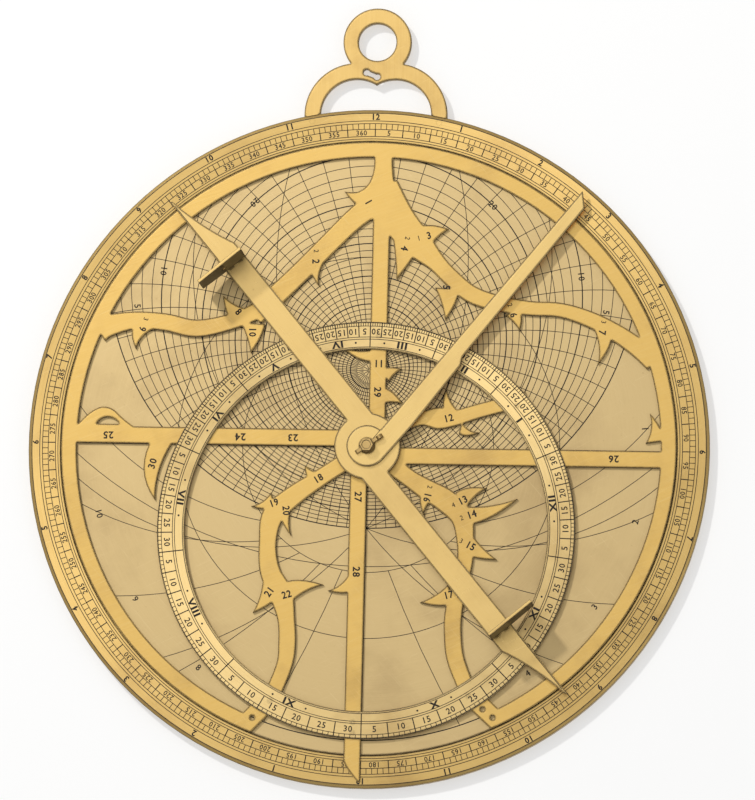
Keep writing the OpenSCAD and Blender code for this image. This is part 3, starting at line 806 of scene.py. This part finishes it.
def drawDayHours(burin, look):
    # unequal hours: arcs through the middle in the upper half, and a whole circle for noon
    for hour in range(1, 7):
        radius = look["hourR"] / (2 * math.sin(deg(15 * hour)))
        for side in (-1, 1):
            burin.arc(radius, look["fine"], -90, side * 30 * hour, (0, radius))
            if hour < 6 or side > 0:
                turn = -side * (90 - 15 * hour)
                burin.label(str(hour), polar(look["hourR"] - look["hourInset"], 90 + turn),
                            look["high"], turn)


def drawShadowSquare(burin, look):
    fine, band, outer = look["fine"], look["squareBand"], look["square"]
    inner = outer - band
    for inset in (0, look["squareInset"], band):
        reach = outer - inset
        width = fine if inset else look["bold"]
        burin.line((-reach, 0), (-reach, -reach), width)
        burin.line((reach, 0), (reach, -reach), width)
        burin.line((-reach, -reach), (reach, -reach), width)
    for part in range(-12, 13):
        share = part / 12
        burin.line((share * inner, -inner), (share * outer, -outer), fine)
        if part and part % 3 == 0:
            nearer, inside = look["bottomNumbers"]
            burin.label(str(abs(part)), (share * inner * nearer, inside - inner), look["high"], 0)
    for part in range(12):
        share = -part / 12
        for side in (-1, 1):
            burin.line((side * inner, share * inner), (side * outer, share * outer), fine)
            if part and part % 3 == 0:
                nearer, inside = look["sideNumbers"]
                burin.label(str(part), (side * (inner - inside), share * inner * nearer),
                            look["high"], 0)


def makeBackEngraving(look):
    burin = Burin()
    rings, fine = look["rings"], look["fine"]
    for radius in rings:
        burin.arc(radius, fine)
    burin.arc(look["hourR"], look["bold"])
    burin.line((-rings[-1], 0), (rings[-1], 0), fine)
    burin.line((0, -rings[-1]), (0, rings[-1]), fine)
    drawAltitudes(burin, look)
    drawCalendar(burin, look)
    drawDayHours(burin, look)
    drawShadowSquare(burin, look)
    burin.finish("backEngraving", "mater", 0, under=True)


makeBackEngraving(backLook)


# Alidade and rule: the lines that are read against the scales

readingLook = {
    # both ends of each line, as radius and bearing, and the width
    "alidade": ([((96, 129.65), (124, 129.72)), ((96, 309.65), (124, 309.72))], 0.16),
    "rule": ([((3.4, 51), (8.4, 51))], 0.22),
}


def makeReadingLines(name, body, level):
    burin = Burin()
    lines, width = readingLook[body]
    for first, last in lines:
        burin.line(polar(*first), polar(*last), width)
    burin.finish(name, body, level)


makeReadingLines("alidadeLines", "alidade", topOf("alidade_rule"))
makeReadingLines("ruleLines", "rule", topOf("single_rule"))


# Stage

stage = {
    "colour": (0.93, 0.93, 0.925), "paleColour": (0.945, 0.945, 0.94), "cloudScale": 6.0,
    "roughness": 0.9,
    "size": 6, "drop": 0.0001,     # metres, and how far it lies under the instrument
    "glow": 0.45, "paper": 1.15,   # how far it is lifted towards white, and the white's strength
    "skyLight": 0.42,
}


def makeFloor(look):
    material, bench = newTree("paleFloor")
    place = bench.add("ShaderNodeTexCoord", output="Object")
    cloud = noise(bench, place, look["cloudScale"], 4.0)
    shade = cloud.blend(rgba(look["colour"]), rgba(look["paleColour"]))
    skin = bench.add("ShaderNodeBsdfPrincipled", None,
                     {"Base Color": shade, "Roughness": look["roughness"]})
    # it is lifted where the camera or the metal sees it, and lights nothing
    paper = bench.add("ShaderNodeEmission", None, {"Color": rgba((1, 1, 1)), "Strength": look["paper"]})
    seen = bench.calc("ADD", bench.add("ShaderNodeLightPath", output="Is Camera Ray"),
                      bench.add("ShaderNodeLightPath", output="Is Glossy Ray"), clamp=True)
    lifted = bench.add("ShaderNodeMixShader", None, {0: seen * look["glow"], 1: skin, 2: paper})
    bench.add("ShaderNodeOutputMaterial", None, {"Surface": lifted})
    work = bmesh.new()
    bmesh.ops.create_grid(work, x_segments=2, y_segments=2, size=look["size"] / 2)
    bmesh.ops.translate(work, vec=(0, 0, -look["drop"]), verts=work.verts)
    floor = addPiece("floor", work, material)


def makeWorld(look):
    world = bpy.data.worlds.new("studio")
    world.use_nodes = True
    world.node_tree.nodes.clear()
    bench = Wire(world.node_tree)
    sky = bench.add("ShaderNodeBackground", None,
                    {"Color": rgba((1, 1, 1)), "Strength": look["skyLight"]})
    bench.add("ShaderNodeOutputWorld", None, {"Surface": sky})
    scene.world = world


makeFloor(stage)
makeWorld(stage)
print("floor and world made")
